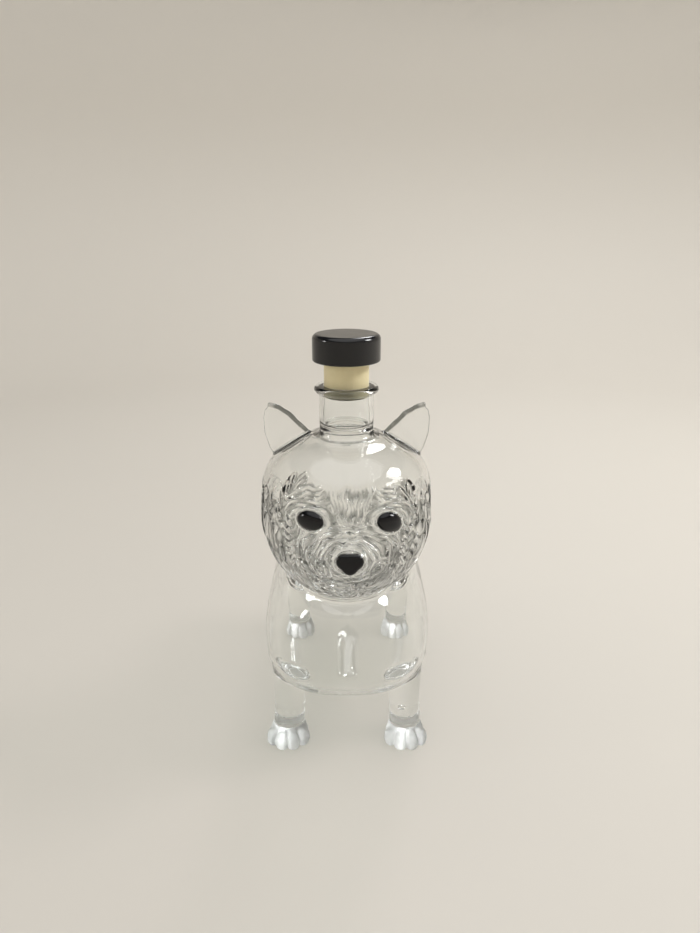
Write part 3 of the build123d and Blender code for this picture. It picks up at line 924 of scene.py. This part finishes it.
# The studio.
# A pale round table top whose edge sweeps up into a low wall all round, under a wide soft lamp and
# three windows. Above the wall the room is dim, which draws the edges of the glass.
FLOOR_COLOUR, FLOOR_ROUGHNESS = (0.63, 0.595, 0.535, 1), 0.6
FLOOR_RADIUS, SWEEP_RADIUS, WALL_TOP, FLOOR_GAP = 1.25, 0.45, 0.90, 0.00005
FLOOR_RINGS = (0.02, 0.3)
ROUND_STEPS, SWEEP_STEPS = 96, 12
SKY_COLOUR, SKY_STRENGTH = (0.93, 0.95, 1.0, 1), 0.05
AIM_HEIGHT = 0.1

floor_nodes = Finish("pale_floor")
pale_floor = floor_nodes.finish(
    floor_nodes.surface({"Base Color": FLOOR_COLOUR, "Roughness": FLOOR_ROUGHNESS})
)
profile = [(out, 0.0) for out in (*FLOOR_RINGS, FLOOR_RADIUS - SWEEP_RADIUS)]
for step in range(1, SWEEP_STEPS + 1):
    turn = math.pi / 2 * step / SWEEP_STEPS
    out = FLOOR_RADIUS - SWEEP_RADIUS + SWEEP_RADIUS * math.sin(turn)
    profile.append((out, SWEEP_RADIUS * (1 - math.cos(turn))))
profile.append((FLOOR_RADIUS, WALL_TOP))
floor_points, floor_faces = [], [list(range(ROUND_STEPS))]
for out, height in profile:
    for step in range(ROUND_STEPS):
        turn = 2 * math.pi * step / ROUND_STEPS
        floor_points.append((out * math.cos(turn), out * math.sin(turn), height - FLOOR_GAP))
for ring in range(len(profile) - 1):
    for step in range(ROUND_STEPS):
        here, ahead = ring * ROUND_STEPS + step, ring * ROUND_STEPS + (step + 1) % ROUND_STEPS
        floor_faces.append((here, here + ROUND_STEPS, ahead + ROUND_STEPS, ahead))
floor_mesh = bpy.data.meshes.new("floor")
floor_mesh.from_pydata(floor_points, [], floor_faces)
floor_mesh.polygons.foreach_set("use_smooth", [True] * len(floor_faces))
floor_mesh.materials.append(pale_floor)
floor = bpy.data.objects.new("floor", floor_mesh)
bpy.context.scene.collection.objects.link(floor)

world = bpy.data.worlds.new("sky")
bpy.context.scene.world = world
world.use_nodes = True
sky = world.node_tree.nodes["Background"]
sky.inputs["Color"].default_value = SKY_COLOUR
sky.inputs["Strength"].default_value = SKY_STRENGTH


def lamp(name, azimuth, elevation, distance, width, height, power):
    """A soft oval light aimed at the glass; azimuth is from straight in front, towards the right."""
    aim = Vector((0, NECK_PLACE.y * MM, AIM_HEIGHT))
    level = distance * math.cos(math.radians(elevation))
    side, forward = math.sin(math.radians(azimuth)), -math.cos(math.radians(azimuth))
    away = Vector((level * side, level * forward, distance * math.sin(math.radians(elevation))))
    light = bpy.data.lights.new(name, "AREA")
    light.shape, light.size, light.size_y, light.energy = "ELLIPSE", width, height, power
    stand = bpy.data.objects.new(name, light)
    stand.location = aim + away
    stand.rotation_euler = (-away).to_track_quat("-Z", "Y").to_euler()
    bpy.context.scene.collection.objects.link(stand)


lamp("window_right", azimuth=92, elevation=41, distance=1.2, width=0.38, height=0.36, power=7.5)
lamp("window_behind", azimuth=165, elevation=44, distance=1.3, width=0.24, height=0.50, power=4.0)
lamp("window_left", azimuth=-80, elevation=24, distance=1.0, width=0.10, height=0.22, power=1.2)
lamp("soft_lamp", azimuth=0, elevation=78, distance=2.6, width=4.0, height=4.0, power=44.0)


# The camera.
# It stands where the photograph was taken from: in front, looking down on the head.
CAMERA_BACK, CAMERA_HEIGHT, CAMERA_SIDE = 0.300, 0.250, 0.0015
PHOTO_HEIGHT, FOCAL_PIXELS, HORIZON_ROW, SENSOR = 933, 720.0, 213.0, 36.0
camera_data = bpy.data.cameras.new("camera")
camera_data.sensor_fit = "VERTICAL"
camera_data.sensor_height = SENSOR
camera_data.sensor_width = SENSOR
camera_data.lens = FOCAL_PIXELS * SENSOR / PHOTO_HEIGHT
camera = bpy.data.objects.new("camera", camera_data)
pitch = math.atan((PHOTO_HEIGHT / 2 - HORIZON_ROW) / FOCAL_PIXELS)
camera.location = (NECK_PLACE.x * MM + CAMERA_SIDE, NECK_PLACE.y * MM - CAMERA_BACK, CAMERA_HEIGHT)
camera.rotation_euler = (math.pi / 2 - pitch, 0, 0)
bpy.context.scene.collection.objects.link(camera)
bpy.context.scene.camera = camera

# Light passes many walls of glass, and its bright spots through them are left out.
scene = bpy.context.scene
scene.view_settings.view_transform = "Standard"
scene.cycles.max_bounces = 32
scene.cycles.transmission_bounces = 24
scene.cycles.transparent_max_bounces = 32
scene.cycles.caustics_refractive = False
scene.cycles.caustics_reflective = False
